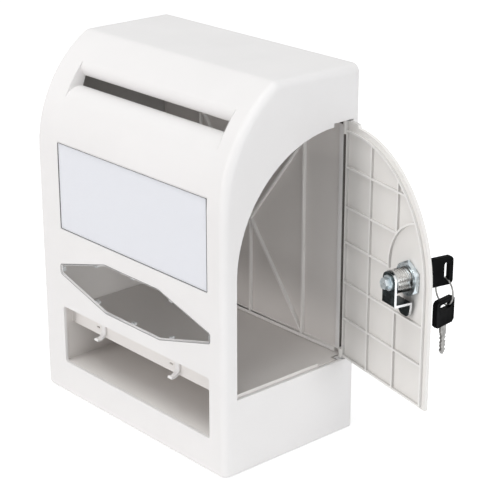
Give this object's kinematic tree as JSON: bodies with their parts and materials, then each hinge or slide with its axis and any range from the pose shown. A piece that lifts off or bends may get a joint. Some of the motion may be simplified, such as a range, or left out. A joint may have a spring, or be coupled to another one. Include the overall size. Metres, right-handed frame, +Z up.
{
  "type": "ballot box",
  "caption": "Upright ballot box with a curved front, a rolled letter slot, a framed card, a clear window, an open pen tray and a hinged side door with a keyed cam lock.",
  "frame": {"origin": "middle of the case's underside", "axes": "+Z up, front faces -Y, the door side faces +X"},
  "size_m": [0.3554, 0.157, 0.315],
  "materials": {
    "white_plastic": "fine satin moulding",
    "clear_plastic": "clear",
    "card": "uncoated card",
    "plated_zinc": "nickel plate",
    "steel": "zinc plate",
    "brass": "plain",
    "black_plastic": "satin"
  },
  "bodies": {
    "case": {"case_shell": "white_plastic", "back_panel": "white_plastic", "back_panel_screws": "steel", "tray_insert": "white_plastic", "tray_screws": "steel", "pen_clip_left": "white_plastic", "pen_clip_right": "white_plastic", "label_card": "card", "label_cover": "clear_plastic", "window_pane": "clear_plastic"},
    "door": {"door_panel": "white_plastic", "hinge_pin_top": "steel", "hinge_pin_bottom": "steel", "lock_housing": "plated_zinc", "lock_tooth_washer": "steel", "lock_nut": "plated_zinc"},
    "plug": {"lock_plug": "plated_zinc", "lock_wafers": "brass", "wafer_springs": "steel", "stop_washer": "steel", "lock_cam": "steel", "cam_washer": "steel", "cam_bolt": "steel"},
    "key": {"key_blade": "plated_zinc", "key_head": "black_plastic"},
    "ring": {"key_ring": "steel"},
    "spare": {"spare_key_blade": "plated_zinc", "spare_key_head": "black_plastic"}
  },
  "joints": [
    {"name": "door_swing", "type": "hinge", "parent": "case", "child": "door", "pos_m": [0.1185, 0.061, 0.167], "axis": [0, 0, 1], "range_deg": [-78, 14]},
    {"name": "lock_turn", "type": "hinge", "parent": "door", "child": "plug", "pos_m": [0.20886, 0.04844, 0.169], "axis": [-0.2079, -0.9781, 0], "range_deg": [0, 90]},
    {"name": "key_pull", "type": "slide", "parent": "plug", "child": "key", "axis": [0.2079, 0.9781, 0], "range_m": [0, 0.022]},
    {"name": "ring_swing", "type": "hinge", "parent": "key", "child": "ring", "pos_m": [0.21454, 0.07514, 0.1628], "axis": [-0.9781, 0.2079, 0], "range_deg": [-15, 15]},
    {"name": "spare_swing", "type": "hinge", "parent": "ring", "child": "spare", "pos_m": [0.21454, 0.07514, 0.1408], "axis": [-0.9781, 0.2079, 0], "range_deg": [-15, 15]}
  ]
}
